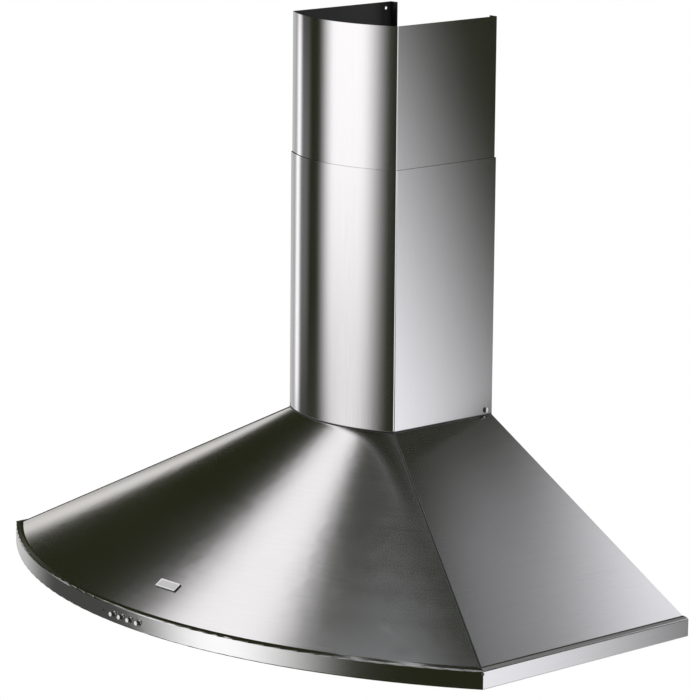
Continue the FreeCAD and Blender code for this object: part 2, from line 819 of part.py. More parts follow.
def reflector_profile(rim):
    wall = s.reflector_wall
    low = s.sheet + s.glass_height
    shoulder = low + s.reflector_foot
    neck = s.bulb_neck + s.touch_gap
    return [(rim, low), (rim, shoulder), (s.reflector_crown, s.reflector_top), (neck, s.reflector_top),
            (neck, s.reflector_top - wall), (s.reflector_crown - wall, s.reflector_top - wall),
            (rim - wall, shoulder - wall), (rim - wall, low)]


# The switch row: four sprung buttons in bezels on the rim, a pilot lamp, a block behind

def button_profile():
    top = s.button_proud
    return [(0, -s.button_depth), (s.button_radius, -s.button_depth),
            (s.button_radius, top - s.button_round), (s.button_radius - s.button_round, top), (0, top)]


def bezel_profile():
    """Radii and heights, with the rim's face at height 0."""
    bevel = v.bezel_bevel
    return [(BEZEL_BORE, -v.sheet - v.bezel_tail), (BEZEL_NECK, -v.sheet - v.bezel_tail),
            (BEZEL_NECK, 0), (BEZEL_RADIUS, 0), (BEZEL_RADIUS, v.bezel_proud - bevel),
            (BEZEL_RADIUS - bevel, v.bezel_proud), (BEZEL_BORE, v.bezel_proud)]


def make_switches():
    for number, spot in enumerate(BUTTON_SPOTS, start=1):
        button = turned("button_%d" % number, button_profile())
        button.Placement = rim_place(spot)

    profile = bezel_profile()
    rings = []
    for spot in BUTTON_SPOTS:
        wire = Part.Wire(run(*[Vector(r, 0, z) for r, z in profile + profile[:1]]))
        ring = Part.Face(wire).revolve(Vector(), Vector(0, 0, 1), 360)
        ring.Placement = rim_place(spot)
        rings.append(ring)
    worked("button_bezels", Part.makeCompound(rings))

    pilot = turned("pilot_lamp", [(0, -s.button_depth), (s.pilot_radius, -s.button_depth),
                                  (s.pilot_radius, s.pilot_proud / 2),
                                  (s.pilot_radius / 2, s.pilot_proud), (0, s.pilot_proud)])
    pilot.Placement = rim_place(v.pilot_middle)

    # The block is straight, so its two front corners stay clear of the bowed face
    half = v.block_length / 2
    front = math.sqrt((RIM.radius - v.sheet - v.seat_gap) ** 2 - half ** 2)
    body = Part.makeBox(v.block_length, v.block_depth, v.block_height,
                        Vector(-half, -front, v.rim_height / 2 - v.block_height / 2))
    turn = math.degrees(rim_angle(v.block_middle))
    body.rotate(Vector(), Vector(0, 0, 1), turn)
    body.translate(Vector(0, RIM.centre_y, 0))
    bores = []
    depth = v.button_depth + v.button_travel + v.seat_gap
    for spot in BUTTON_SPOTS:
        bores.append(Part.makeCylinder(v.button_radius + v.button_gap, depth,
                                       on_rim(spot, depth, v.rim_height / 2), out_of_rim(spot)))
    bores.append(Part.makeCylinder(v.pilot_radius + v.button_gap, v.button_depth,
                                   on_rim(v.pilot_middle, v.button_depth, v.rim_height / 2),
                                   out_of_rim(v.pilot_middle)))
    worked("switch_block", body.cut(bores))


# The blower: a scroll that opens up into the duct collar, a wheel of curved blades and its motor

def scroll_wire(x):
    """The scroll's outline in a plane of constant x: three arcs that grow, then the outlet."""
    centre_y = -v.blower_back
    tongue_up = math.sqrt(v.scroll_radius ** 2 - v.tongue_offset ** 2)
    start = math.atan2(tongue_up, v.tongue_offset)
    steps = 6
    spots = []
    for step in range(steps + 1):
        share = step / steps
        angle = start - share * (start + math.pi)
        radius = v.scroll_radius + v.scroll_growth * share
        spots.append(Vector(x, centre_y + radius * math.cos(angle),
                            v.blower_axis + radius * math.sin(angle)))
    arcs = [Part.Arc(*spots[k:k + 3]).toShape() for k in range(0, steps, 2)]
    outlet = run(spots[-1], Vector(x, spots[-1].y, PLATE_Z), Vector(x, spots[0].y, PLATE_Z), spots[0])
    return Part.Wire(arcs + outlet)


def make_scroll():
    half = v.blower_width / 2
    outer = Part.Face(scroll_wire(-half))
    inner = outer.makeOffset2D(-v.blower_sheet)
    box = outer.BoundBox
    outlet_low = Vector(-half, -v.blower_back - v.scroll_radius - v.scroll_growth + v.blower_sheet,
                        PLATE_Z - 2 * v.blower_sheet)
    outlet_width = -v.blower_back + v.tongue_offset - v.blower_sheet - outlet_low.y
    outlet = Part.makeBox(v.blower_width, outlet_width, 2 * v.blower_sheet + v.overrun, outlet_low)
    strip = outer.cut(inner).extrude(Vector(v.blower_width, 0, 0)).cut(outlet)
    worked("blower_scroll", strip)

    # Both side plates cover the scroll's whole outline; one has the flared inlet
    axis = Vector(-half - v.blower_sheet, -v.blower_back, v.blower_axis)
    plate = Part.Face(scroll_wire(-half - v.blower_sheet)).extrude(Vector(v.blower_sheet, 0, 0))
    throat = v.inlet_radius
    sheet = v.blower_sheet
    flare = v.inlet_flare
    profile = [(throat, sheet + v.inlet_depth), (throat, sheet), (throat + flare / 2, -flare / 2),
               (throat + flare, -flare / 2), (throat + flare, -flare / 2 + sheet),
               (throat + flare / 2 + sheet, -flare / 2 + sheet), (throat + sheet, sheet),
               (throat + sheet, sheet + v.inlet_depth)]
    wire = Part.Wire(run(*[Vector(r, 0, z) for r, z in profile + profile[:1]]))
    mouth = Part.Face(wire).revolve(Vector(), Vector(0, 0, 1), 360)
    mouth.Placement = Placement(axis, TOWARDS_RIGHT)
    eye = Part.makeCylinder(throat + v.blower_sheet / 2, 2 * v.overrun, axis - Vector(v.overrun, 0, 0),
                            Vector(1, 0, 0))
    worked("blower_inlet_side", plate.cut(eye).fuse(mouth).removeSplitter())

    axis = Vector(half, -v.blower_back, v.blower_axis)
    plate = Part.Face(scroll_wire(half)).extrude(Vector(v.blower_sheet, 0, 0))
    boss = Part.makeCylinder(v.motor_boss + v.seat_gap, 2 * v.overrun, axis - Vector(v.overrun, 0, 0),
                             Vector(1, 0, 0))
    worked("blower_motor_side", plate.cut(boss))


def make_wheel():
    """The wheel turned about its own Z axis: hub and back plate, curved blades, front ring."""
    wheel = turned("impeller", [(s.shaft_radius, 0), (s.wheel_radius, 0),
                                (s.wheel_radius, s.wheel_plate), (s.hub_radius, s.wheel_plate),
                                (s.hub_radius, s.hub_length), (s.shaft_radius, s.hub_length)])
    doc.recompute()
    sketch = sketch_on(wheel, "XY_Plane")
    eye = draw_circle(sketch, 0, 0, s.wheel_eye)
    tip = draw_circle(sketch, 0, 0, s.wheel_radius - s.wheel_ring_wall / 2)
    sketch.setConstruction(eye, True)
    sketch.setConstruction(tip, True)
    centre = Vector(v.blade_centre_out, v.blade_centre_up, 0)
    tip_radius = v.wheel_radius - v.wheel_ring_wall / 2
    ends = []
    for radius in (s.blade_curve, s.blade_curve - s.blade_sheet):
        inner = circle_meeting(v.wheel_eye, centre, plain(radius))
        outer = circle_meeting(tip_radius, centre, plain(radius))
        angles = [math.atan2(spot.y - centre.y, spot.x - centre.x) for spot in (inner, outer)]
        circle = Part.Circle(centre, Vector(0, 0, 1), plain(radius))
        edge = sketch.addGeometry(Part.ArcOfCircle(circle, *angles))
        number = sketch.addConstraint(Sketcher.Constraint("Radius", edge, plain(radius)))
        bind(sketch, "Constraints[%d]" % number, radius)
        pin_point(sketch, edge, 3, s.blade_centre_out, s.blade_centre_up)
        sketch.addConstraint(Sketcher.Constraint("PointOnObject", edge, 1, eye))
        sketch.addConstraint(Sketcher.Constraint("PointOnObject", edge, 2, tip))
        ends.append((edge, inner, outer))
    for end, spots in ((1, (ends[0][1], ends[1][1])), (2, (ends[0][2], ends[1][2]))):
        line = sketch.addGeometry(Part.LineSegment(*spots))
        sketch.addConstraint(Sketcher.Constraint("Coincident", line, 1, ends[0][0], end))
        sketch.addConstraint(Sketcher.Constraint("Coincident", line, 2, ends[1][0], end))
    blade = wheel.newObject("PartDesign::Pad", "impeller_blade")
    blade.Profile = sketch
    bind(blade, "Length", s.wheel_width)
    blades = wheel.newObject("PartDesign::PolarPattern", "impeller_blades")
    blades.Originals = [blade]
    blades.Axis = (sketch, ["N_Axis"])
    blades.Angle = 360
    blades.Occurrences = int(v.blade_count)
    wheel.Tip = blades
    doc.recompute()
    ring_sketch = sketch_on(wheel, "XZ_Plane")
    draw_rectangle(ring_sketch, s.wheel_radius - s.wheel_ring_wall, s.wheel_radius,
                   s.wheel_width - s.wheel_ring, s.wheel_width)
    ring = wheel.newObject("PartDesign::Revolution", "impeller_ring")
    ring.Profile = ring_sketch
    ring.ReferenceAxis = (ring_sketch, ["V_Axis"])
    ring.Angle = 360
    wheel.Tip = ring
    back_x = s.blower_width / 2 - s.wheel_side_gap
    move_to(wheel, back_x, -s.blower_back, s.blower_axis, TOWARDS_LEFT)

    shaft_start = back_x - s.hub_length
    shaft = rod("motor_shaft", s.shaft_radius,
                s.hub_length + s.wheel_side_gap + s.blower_sheet + s.motor_bore_depth - s.shaft_end_gap,
                shaft_start, -s.blower_back, s.blower_axis, TOWARDS_RIGHT)
    keep(shaft, "motor_shaft")


def circle_meeting(radius, centre, reach):
    """The lower of the two points where a circle round the origin meets one round a centre."""
    span = math.hypot(centre.x, centre.y)
    along = (radius ** 2 - reach ** 2 + span ** 2) / (2 * span)
    across = math.sqrt(radius ** 2 - along ** 2)
    ux = centre.x / span
    uy = centre.y / span
    return Vector(along * ux + across * uy, along * uy - across * ux, 0)


def make_motor():
    """The motor, turned, with its flange against the scroll's side and a bored boss."""
    bore = s.shaft_radius + s.shaft_gap
    length = s.motor_length
    shoulder = s.motor_shoulder
    motor = turned("motor", [(bore, -s.blower_sheet), (s.motor_boss, -s.blower_sheet),
                             (s.motor_boss, 0), (s.motor_flange, 0),
                             (s.motor_flange, s.motor_flange_sheet),
                             (s.motor_radius, s.motor_flange_sheet), (s.motor_radius, length - shoulder),
                             (s.motor_radius - shoulder, length), (s.motor_boss, length),
                             (s.motor_boss, length + s.motor_boss_length),
                             (0, length + s.motor_boss_length), (0, s.motor_bore_depth),
                             (bore, s.motor_bore_depth)])
    face_x = s.blower_width / 2 + s.blower_sheet
    move_to(motor, face_x, -s.blower_back, s.blower_axis, TOWARDS_RIGHT)
    rim = s.capacitor_rim
    case = s.capacitor_radius
    capacitor = turned("capacitor", [(0, 0), (case - rim, 0), (case, rim),
                                     (case, s.capacitor_length - rim), (case - rim, s.capacitor_length),
                                     (0, s.capacitor_length)])
    move_to(capacitor, s.capacitor_side, -s.sheet - case, s.capacitor_rise, TOWARDS_RIGHT)


# The wiring: a terminal box with a lid, the lamps' transformer and a gland for the lead

def make_wiring():
    wall = s.terminal_wall
    depth = s.terminal_depth - wall
    front = -s.sheet - depth
    shell = block("terminal_shell", s.terminal_length, depth, s.terminal_height,
                  s.terminal_side, front, s.terminal_rise)
    hollow = block("terminal_hollow", s.terminal_length - wall * 2, depth,
                   s.terminal_height - wall * 2, s.terminal_side + wall, front - wall,
                   s.terminal_rise + wall)
    keep(cut_from("terminal_box", shell, [hollow]), "terminal_box")
    lid = block("terminal_lid", s.terminal_length, wall, s.terminal_height,
                s.terminal_side, front - wall, s.terminal_rise)
    keep(lid, "terminal_lid")
    transformer = block("lamp_transformer", s.transformer_length, s.transformer_depth,
                        s.transformer_height, -s.transformer_side, -s.sheet - s.transformer_depth,
                        s.terminal_rise)
    keep(transformer, "lamp_transformer")
    gland = turned("cable_gland", [(s.gland_bore, -s.gland_tail), (s.gland_radius, -s.gland_tail),
                                   (s.gland_radius, 0), (s.gland_flange, 0),
                                   (s.gland_flange, s.gland_flange_height),
                                   (s.gland_radius, s.gland_flange_height),
                                   (s.gland_radius - s.gland_taper, s.gland_height),
                                   (s.gland_bore, s.gland_height)])
    move_to(gland, s.gland_side, -s.gland_back, s.canopy_height)


# The duct collar: a flanged tube with an inner lip, a cross pin and two half round flaps

def make_collar():
    outer = s.collar_radius
    bore = outer - s.collar_wall
    lip_top = s.flap_rise - s.flap_sheet / 2 - s.touch_gap
    collar = turned("collar_blank", [(bore, 0), (outer + s.collar_flange, 0),
                                     (outer + s.collar_flange, s.collar_wall), (outer, s.collar_wall),
                                     (outer, s.collar_height), (bore, s.collar_height), (bore, lip_top),
                                     (bore - s.lip_width, lip_top),
                                     (bore - s.lip_width, lip_top - s.lip_height),
                                     (bore, lip_top - s.lip_height)])
    subparts.remove(collar)
    move_to(collar, 0, -s.collar_back, s.canopy_height)
    pin_z = s.canopy_height + s.flap_rise
    pin_hole = rod("collar_pin_hole", s.pin_radius + s.pin_gap, outer * 2 + s.overrun * 2,
                   -outer - s.overrun, -s.collar_back, pin_z, TOWARDS_RIGHT)
    notch_half = s.knuckle_radius + s.knuckle_gap
    notch_reach = bore - s.seat_gap
    notch = block("collar_lip_notch", notch_reach * 2, notch_half * 2, s.knuckle_radius * 2,
                  -notch_reach, -s.collar_back - notch_half, pin_z - s.knuckle_radius * 2 + s.pin_radius)
    keep(cut_from("outlet_collar", collar, [pin_hole, notch]), "outlet_collar")
    keep(rod("flap_pin", s.pin_radius, outer * 2, -outer, -s.collar_back, pin_z, TOWARDS_RIGHT), "flap_pin")


def make_flap(label, hand, knuckle_spots):
    """Half a disc with its knuckles on the pin, on the front (-1) or rear (1) side."""
    radius = v.collar_radius - v.collar_wall - v.flap_side_gap
    start = v.knuckle_radius + v.knuckle_gap
    disc = Part.makeCylinder(radius, v.flap_sheet, Vector(0, 0, -v.flap_sheet / 2))
    low_y = start if hand > 0 else -radius
    half_disc = Part.makeBox(2 * radius, radius - start, v.flap_sheet,
                             Vector(-radius, low_y, -v.flap_sheet / 2))
    shape = disc.common(half_disc)
    solids = []
    for middle in knuckle_spots:
        foot = Vector(middle - v.knuckle_length / 2, 0, 0)
        solids.append(Part.makeCylinder(v.knuckle_radius, v.knuckle_length, foot, Vector(1, 0, 0)))
        web_y = 0 if hand > 0 else -start
        solids.append(Part.makeBox(v.knuckle_length, start, v.flap_sheet,
                                   Vector(foot.x, web_y, -v.flap_sheet / 2)))
    shape = shape.fuse(solids).removeSplitter()
    bore = Part.makeCylinder(v.pin_radius + v.pin_gap, 2 * radius, Vector(-radius, 0, 0), Vector(1, 0, 0))
    place = Placement(Vector(0, -v.collar_back, v.canopy_height + v.flap_rise), Rotation())
    worked(label, shape.cut(bore), place)


def make_flaps():
    pitch = v.knuckle_length + v.knuckle_gap
    make_flap("flap_front", -1, [-pitch, pitch])
    make_flap("flap_rear", 1, [0])


make_rim()
make_canopy()
make_back()
make_top()
make_chimney()
make_chimney_fixings()
make_pan()
for hand, side in ((-1, "left"), (1, "right")):
    make_filter(hand, side)
    make_lamp(hand, side)
make_switches()
make_scroll()
make_wheel()
make_motor()
make_wiring()
make_collar()
make_flaps()
doc.recompute()

for thing in doc.Objects:
    faults = [state for state in thing.State if state in ("Invalid", "Error")]
    if faults:
        raise RuntimeError("%s did not build: %s" % (thing.Label, ", ".join(faults)))
for thing in subparts:
    if thing.Shape.isNull() or not thing.Shape.isValid():
        raise RuntimeError("%s has no valid shape" % thing.Label)

os.makedirs("parts", exist_ok=True)
for thing in subparts:
    thing.Shape.exportStep("parts/%s.step" % thing.Label)
    box = thing.Shape.BoundBox
    print("%-20s solids %d  volume %10.1f  x %.1f %.1f  y %.1f %.1f  z %.1f %.1f" % (
        thing.Label, len(thing.Shape.Solids), thing.Shape.Volume, box.XMin, box.XMax,
        box.YMin, box.YMax, box.ZMin, box.ZMax))
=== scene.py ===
import json
import math

import bmesh
import bpy
from mathutils import Matrix, Vector

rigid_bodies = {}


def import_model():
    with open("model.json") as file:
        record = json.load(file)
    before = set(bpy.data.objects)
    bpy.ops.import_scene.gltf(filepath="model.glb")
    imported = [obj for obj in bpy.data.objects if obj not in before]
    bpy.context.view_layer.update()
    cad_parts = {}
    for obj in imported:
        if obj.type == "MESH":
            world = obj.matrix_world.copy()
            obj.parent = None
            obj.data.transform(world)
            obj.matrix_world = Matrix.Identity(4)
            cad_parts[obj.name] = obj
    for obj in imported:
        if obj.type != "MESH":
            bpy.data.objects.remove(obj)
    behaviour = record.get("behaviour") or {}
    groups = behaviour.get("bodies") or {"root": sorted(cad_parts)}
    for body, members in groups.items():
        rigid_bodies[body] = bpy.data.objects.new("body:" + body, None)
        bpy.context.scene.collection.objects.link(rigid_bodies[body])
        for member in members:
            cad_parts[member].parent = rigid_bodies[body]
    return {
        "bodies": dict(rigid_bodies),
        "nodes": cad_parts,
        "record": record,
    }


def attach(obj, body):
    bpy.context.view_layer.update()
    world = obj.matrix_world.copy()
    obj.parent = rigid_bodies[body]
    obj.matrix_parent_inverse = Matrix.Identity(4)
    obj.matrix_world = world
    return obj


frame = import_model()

# A wall mount range hood in satin steel, in a plain pale studio. Lengths are in metres.

nodes = frame["nodes"]
for thing in list(bpy.data.objects):
    if thing.name not in nodes and thing not in frame["bodies"].values():
        bpy.data.objects.remove(thing)
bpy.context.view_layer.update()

scene = bpy.context.scene
scene.view_settings.view_transform = "Standard"

# The camera stands where the photograph was taken from: right of the hood and a little above it

AZIMUTH = math.radians(48.27)
ELEVATION = math.radians(12.03)
ROLL = math.radians(0.5)
DISTANCE = 4.831
FOCAL_PIXELS = 3860.0
LONG_SIDE_PIXELS = 700.0
SHORT_SIDE_PIXELS = 690.0
SENSOR = 36.0
AIM = Vector((0.0, -0.2, 0.35))
AIM_RIGHT = 0.02764
AIM_UP = -0.03865


def camera_axes():
    """The camera's directions right, up and back, and its right and up without the roll."""
    back = Vector((math.sin(AZIMUTH) * math.cos(ELEVATION),
                   -math.cos(AZIMUTH) * math.cos(ELEVATION), math.sin(ELEVATION)))
    level = Vector((math.cos(AZIMUTH), math.sin(AZIMUTH), 0.0))
    above = back.cross(level)
    right = level * math.cos(ROLL) + above * math.sin(ROLL)
    return right, back.cross(right), back, level, above


def make_camera():
    """Add the camera and return the place of its eye."""
    right, up, back, level, above = camera_axes()
    spot = AIM + level * AIM_RIGHT + above * AIM_UP + back * DISTANCE
    lens = bpy.data.cameras.new("camera")
    lens.sensor_width = SENSOR
    lens.lens = FOCAL_PIXELS * SENSOR / LONG_SIDE_PIXELS
    camera = bpy.data.objects.new("camera", lens)
    scene.collection.objects.link(camera)
    camera.matrix_world = placed(spot, right, up, back)
    scene.camera = camera
    return spot


def sight_line(pixel_x, pixel_y):
    """The direction from the camera through a pixel of the photograph."""
    right, up, back = camera_axes()[:3]
    aside = (pixel_x - SHORT_SIDE_PIXELS / 2) / FOCAL_PIXELS
    rise = (LONG_SIDE_PIXELS / 2 - pixel_y) / FOCAL_PIXELS
    return (right * aside + up * rise - back).normalized()


def placed(spot, side, up, out):
    """The matrix of a thing at a spot with its three axes along these directions."""
    return Matrix.Translation(spot) @ Matrix((side, up, out)).transposed().to_4x4()


# Shader building

def add(tree, kind, inputs=None, **settings):
    """A shader node with its settings, and its inputs set or linked by name or number."""
    made = tree.nodes.new("ShaderNode" + kind)
    for name, value in settings.items():
        setattr(made, name, value)
    for name, value in (inputs or {}).items():
        socket = made.inputs[name]
        if isinstance(value, bpy.types.NodeSocket):
            tree.links.new(value, socket)
        else:
            socket.default_value = value
    return made


def calc(tree, operation, *values):
    """The output of one Math node."""
    return add(tree, "Math", dict(enumerate(values)), operation=operation).outputs[0]


def vector(tree, operation, *values, output="Vector"):
    """An output of one Vector Math node."""
    return add(tree, "VectorMath", dict(enumerate(values)), operation=operation).outputs[output]


def split(tree, value):
    """The x, y and z of a vector."""
    return add(tree, "SeparateXYZ", {0: value}).outputs


def spread(tree, value, low, high, to_low=0.0, to_high=1.0, kind="LINEAR"):
    """A value's range mapped to another, held at its ends."""
    ends = {"Value": value, "From Min": low, "From Max": high, "To Min": to_low, "To Max": to_high}
    return add(tree, "MapRange", ends, interpolation_type=kind).outputs[0]


def plateau(tree, edges, value, top_value=None):
    """1 between the second and third edge, with a soft way up before it and down after it. The way
    down can go by a value of its own."""
    start, full, full_end, end = edges
    rise = spread(tree, value, start, full, kind="SMOOTHSTEP")
    if top_value is None:
        top_value = value
    fall = spread(tree, top_value, full_end, end, 1.0, 0.0, kind="SMOOTHSTEP")
    return calc(tree, "MULTIPLY", rise, fall)


def blend(tree, factor, low, high):
    """A colour between two others."""
    return add(tree, "Mix", {0: factor, 6: low, 7: high}, data_type="RGBA").outputs[2]


def rgb(red, green, blue):
    """An opaque colour."""
    return (red, green, blue, 1.0)


def emptied(owner):
    """The node tree of a world or material, with no nodes."""
    owner.use_nodes = True
    owner.node_tree.nodes.clear()
    return owner.node_tree


# The studio: what the steel mirrors, by compass direction and height in degrees. Direction 0 is
# in front of the hood, -90 on its left and 90 on its right. A box's four numbers are where it
# starts, where it is full, where its full part ends and where it ends. Its lower and upper edges
# can lean: they drop by so many degrees for each degree past LEAN_FROM.

BACKGROUND = rgb(1.0, 1.0, 1.0)
AMBIENT = rgb(0.5, 0.5, 0.5)
SHADE = (0.020, 0.022, 0.009)
LEAN_FROM = -90.0
NO_LEAN = (0.0, 0.0)
BOXES = {
    "key": dict(along=(-60, -40, -16, 12), high=(-17, -9, 20, 42),
                light=(1.41, 1.37, 1.41)),
    "key low": dict(along=(-56, -30, -26, 4), high=(-60, -30, -15.5, -13),
                    light=(1.37, 1.36, 1.38)),
    "rim low": dict(along=(-102, -90, -60, -44), high=(-60, -30, -14.5, -12.5),
                    light=(0.055, 0.055, 0.062)),
    "left": dict(along=(-118, -113, -112.6, -110.4), high=(-2, 4, 15, 24),
                 light=(0.97, 0.94, 0.92)),
    "rim end": dict(along=(-140, -118, -119, -111), high=(-60, -50, -12, -6),
                    light=(0.66, 0.65, 0.64)),
    "left low": dict(along=(-118, -112, -108, -84), high=(-60, -50, -6, 0),
                     light=(0.60, 0.60, 0.61)),
    "shoulder": dict(along=(-90, -84, -76, -68), high=(-13.5, -11, -8.5, -6),
                     light=(0.16, 0.16, 0.17)),
    "left above": dict(along=(-160, -130, -80, -67), high=(39.5, 51.5, 56.2, 62.2),
                       lean=(0.8, -0.15), light=(1.26, 1.22, 1.26)),
    "foot glow": dict(along=(-93.5, -90.5, -80, -70), high=(30, 38, 39, 45),
                      light=(0.085, 0.085, 0.095)),
    "foot fill": dict(along=(-88.5, -85.5, -75, -65), high=(58.5, 62.5, 66, 69.5),
                      light=(0.17, 0.17, 0.18)),
    "overhead": dict(along=(-130, -120, -87, -75), high=(65.2, 68.8, 84, 88),
                     lean=(0.4, 0.4), light=(0.35, 0.355, 0.385)),
    "side ledge": dict(along=(-160, -153, -143, -137), high=(26, 32, 40, 48),
                       light=(0.20, 0.20, 0.21)),
    "right": dict(along=(46, 58, 88, 104), high=(-60, -40, 24, 44),
                  light=(1.0, 1.0, 1.02)),
    "front above": dict(along=(-25, 0, 50, 75), high=(30, 44, 58, 72),
                        light=(0.75, 0.75, 0.78)),
    "right above": dict(along=(55, 75, 110, 130), high=(46, 54, 60, 65),
                        light=(0.50, 0.50, 0.52)),
    "rear above": dict(along=(120, 150, 178, 180), high=(54, 62, 70, 82),
                       light=(0.9, 0.9, 0.92)),
    "rear soft": dict(along=(169, 175, 180, 181), high=(47, 50, 56, 64),
                      light=(0.42, 0.42, 0.44)),
    "rear soft end": dict(along=(-181, -180, -178, -174), high=(48, 50, 56, 64),
                          light=(0.42, 0.42, 0.44)),
    "rear right": dict(along=(140, 152, 172, 178), high=(-60, -45, 10, 25),
                       light=(1.2, 1.2, 1.22)),
    "rear low left": dict(along=(-165, -152, -140, -127), high=(-60, -50, -12, -6),
                          light=(0.66, 0.65, 0.65)),
    "rear left": dict(along=(-178, -172, -160, -150), high=(-60, -40, 20, 34),
                      light=(0.9, 0.9, 0.92)),
}


def make_world():
    """White to the camera, pale to matt surfaces, and the light boxes to gloss."""
    world = bpy.data.worlds.new("studio")
    scene.world = world
    tree = emptied(world)
    x, y, z = split(tree, add(tree, "TexCoord").outputs["Generated"])
    along = calc(tree, "DEGREES", calc(tree, "ARCTAN2", x, calc(tree, "MULTIPLY", y, -1.0)))
    height = calc(tree, "DEGREES", calc(tree, "ARCSINE", z))
    aside = calc(tree, "SUBTRACT", along, LEAN_FROM)
    total = SHADE
    for box in BOXES.values():
        low, high = [calc(tree, "MULTIPLY_ADD", aside, lean, height)
                     for lean in box.get("lean", NO_LEAN)]
        mask = calc(tree, "MULTIPLY", plateau(tree, box["high"], low, high),
                    plateau(tree, box["along"], along))
        total = vector(tree, "MULTIPLY_ADD", box["light"], mask, total)
    ray = add(tree, "LightPath").outputs
    mirrored = blend(tree, ray["Is Glossy Ray"], BACKGROUND, total)
    direct = calc(tree, "ADD", ray["Is Camera Ray"], ray["Is Glossy Ray"])
    direct = calc(tree, "MINIMUM", calc(tree, "ADD", direct, ray["Is Transmission Ray"]), 1.0)
    backdrop = add(tree, "Background", {"Color": blend(tree, direct, AMBIENT, mirrored)})
    out = add(tree, "OutputWorld", {"Surface": backdrop.outputs[0]})
    out.is_active_output = True


# Cards near the hood, which give its flat sides their gradients. Soft holds the four widths of a
# card's fading edges: low and high across, low and high upward.

CARDS = {
    "card_chimney_left": dict(
        centre=(-3.1, -0.14, -0.05), towards=(-0.06, -0.18, 0.4), across=(0, 1, 0),
        size=(0.80, 1.10), soft=(0.35, 0.35, 0.2, 0.2), light=(1.46, 1.42, 1.48)),
    "card_chimney_right": dict(
        centre=(0.60, 0.29, 0.385), towards=(0.0, 0.29, 0.385), across=(0, -0.92, -0.39),
        size=(0.44, 0.76), soft=(0.43, 0.01, 0.02, 0.02), light=(1.30, 1.29, 1.35)),
    "card_rim_right": dict(
        centre=(0.67, 0.10, -0.085), towards=(0.0, 0.10, -0.02), across=(0, 1, 0),
        size=(0.66, 0.13), soft=(0.02, 0.60, 0.02, 0.02), light=(1.13, 1.12, 1.17)),
    "card_panel_rear": dict(
        centre=(0.0515, 1.4979, 1.60), towards=(0.0515, 1.4979, 0.0), across=(0.97, -0.24, 0),
        size=(0.62, 0.505), soft=(0.02, 0.01, 0.04, 0.42), light=(1.28, 1.26, 1.31)),
    "card_panel_front": dict(
        centre=(0.0428, 1.3775, 1.62), towards=(0.0428, 1.3775, 0.0), across=(0.97, -0.24, 0),
        size=(0.579, 0.743), soft=(0.291, 0.01, 0.04, 0.194), light=(0.285, 0.285, 0.30)),
}


def make_card(name, centre, towards, across, size, soft, light):
    """A soft edged light card that only the steel mirrors."""
    out = (Vector(towards) - Vector(centre)).normalized()
    side = Vector(across)
    side = (side - out * side.dot(out)).normalized()
    half_width, half_height = [length / 2 for length in size]
    mesh = bpy.data.meshes.new(name)
    corners = [(-half_width, -half_height, 0), (half_width, -half_height, 0),
               (half_width, half_height, 0), (-half_width, half_height, 0)]
    mesh.from_pydata(corners, [], [(0, 1, 2, 3)])
    card = bpy.data.objects.new(name, mesh)
    scene.collection.objects.link(card)
    card.matrix_world = placed(centre, side, out.cross(side), out)
    card.visible_camera = False
    card.visible_diffuse = False
    card.visible_transmission = False
    card.visible_shadow = False
    material = bpy.data.materials.new(name)
    tree = emptied(material)
    x, y, _ = split(tree, add(tree, "TexCoord").outputs["Object"])
    wide = (-half_width, soft[0] - half_width, half_width - soft[1], half_width)
    tall = (-half_height, soft[2] - half_height, half_height - soft[3], half_height)
    mask = calc(tree, "MULTIPLY", plateau(tree, wide, x), plateau(tree, tall, y))
    glow = add(tree, "Emission", {"Color": rgb(*light)})
    clear = add(tree, "BsdfTransparent")
    mixed = add(tree, "MixShader", {0: mask, 1: clear.outputs[0], 2: glow.outputs[0]})
    add(tree, "OutputMaterial", {"Surface": mixed.outputs[0]})
    mesh.materials.append(material)


FLOOR_DROP = 1.55
FLOOR_RADIUS = 3.2
FLOOR_FADE = 1.2
FLOOR_SIDES = 96
FLOOR_TONES = (rgb(0.84, 0.84, 0.84), rgb(0.88, 0.88, 0.87))


def make_floor():
    """A pale floor well below the hood, which fades into the white round it."""
    mesh = bpy.data.meshes.new("floor")
    shape = bmesh.new()
    bmesh.ops.create_circle(shape, cap_ends=True, segments=FLOOR_SIDES, radius=FLOOR_RADIUS)
    shape.to_mesh(mesh)
    shape.free()
    floor = bpy.data.objects.new("floor", mesh)
    floor.location = (0.0, AIM.y, -FLOOR_DROP)
    floor.visible_glossy = False
    scene.collection.objects.link(floor)
    material = bpy.data.materials.new("pale_floor")
    tree = emptied(material)
    place = add(tree, "TexCoord").outputs["Object"]
    reach = vector(tree, "LENGTH", place, output="Value")
    fade = spread(tree, reach, FLOOR_RADIUS - FLOOR_FADE, FLOOR_RADIUS, kind="SMOOTHSTEP")
    matt = add(tree, "BsdfDiffuse",
               {"Color": blend(tree, noise(tree, place, scale=3.0), *FLOOR_TONES)})
    clear = add(tree, "BsdfTransparent")
    mixed = add(tree, "MixShader", {0: fade, 1: matt.outputs[0], 2: clear.outputs[0]})
    add(tree, "OutputMaterial", {"Surface": mixed.outputs[0]})
    mesh.materials.append(material)


LAMP_SIZE = 2.0
LAMPS = {
    "key_lamp": dict(spot=(-2.4, -2.6, 2.4), power=85.0),
    "fill_lamp": dict(spot=(3.0, -2.2, 1.2), power=45.0),
    "rear_lamp": dict(spot=(0.6, 2.4, 2.8), power=50.0),
}


